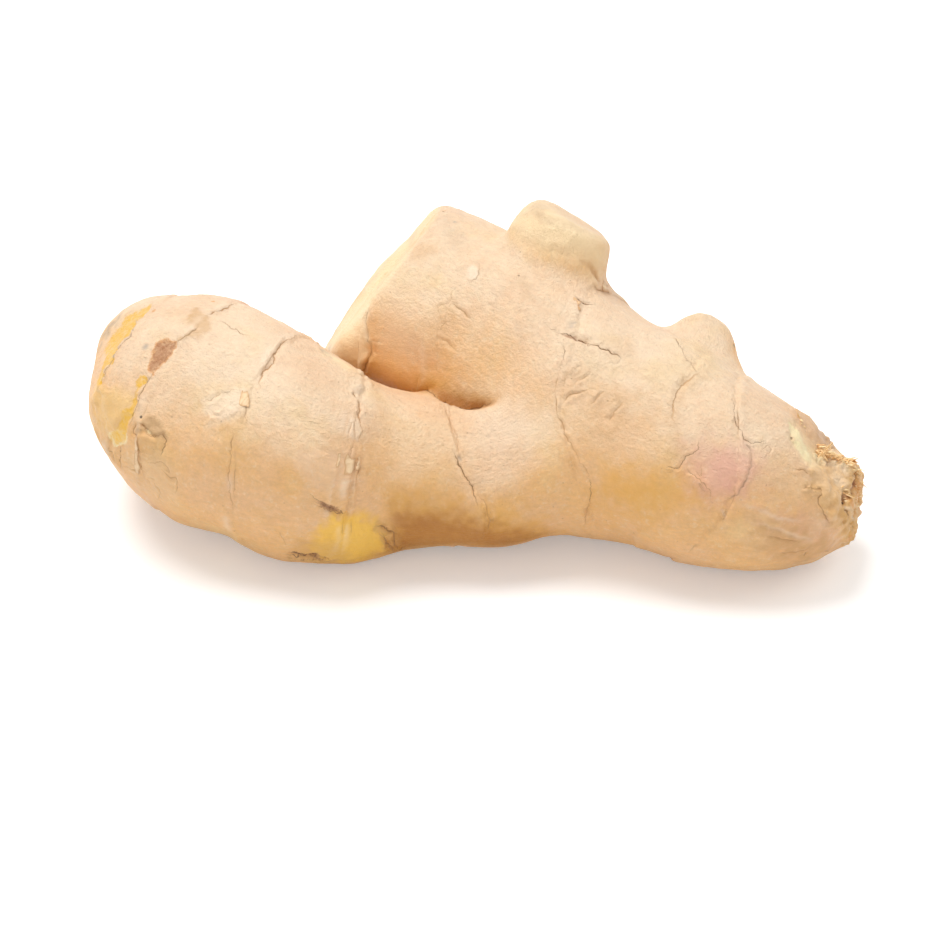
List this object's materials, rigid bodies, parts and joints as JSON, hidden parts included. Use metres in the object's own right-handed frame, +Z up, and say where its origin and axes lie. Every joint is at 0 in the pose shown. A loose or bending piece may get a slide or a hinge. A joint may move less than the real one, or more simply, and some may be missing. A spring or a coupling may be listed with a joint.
{
  "type": "ginger root",
  "caption": "Fresh ginger root: a branching rhizome with a long front finger, a cut upper lobe and short knobs, lying as it does on a kitchen surface.",
  "frame": {"origin": "under the middle of the root's outline, on the surface it lies on", "axes": "+X along its length, from the tip of the long front finger to the torn end; +Y from the front finger to the back; +Z up"},
  "size_m": [0.1517, 0.0837, 0.0573],
  "materials": {
    "skin": "dull papery skin, tan to ochre, with pale cut faces"
  },
  "bodies": {
    "root": {"ginger_root": "skin"}
  },
  "joints": []
}
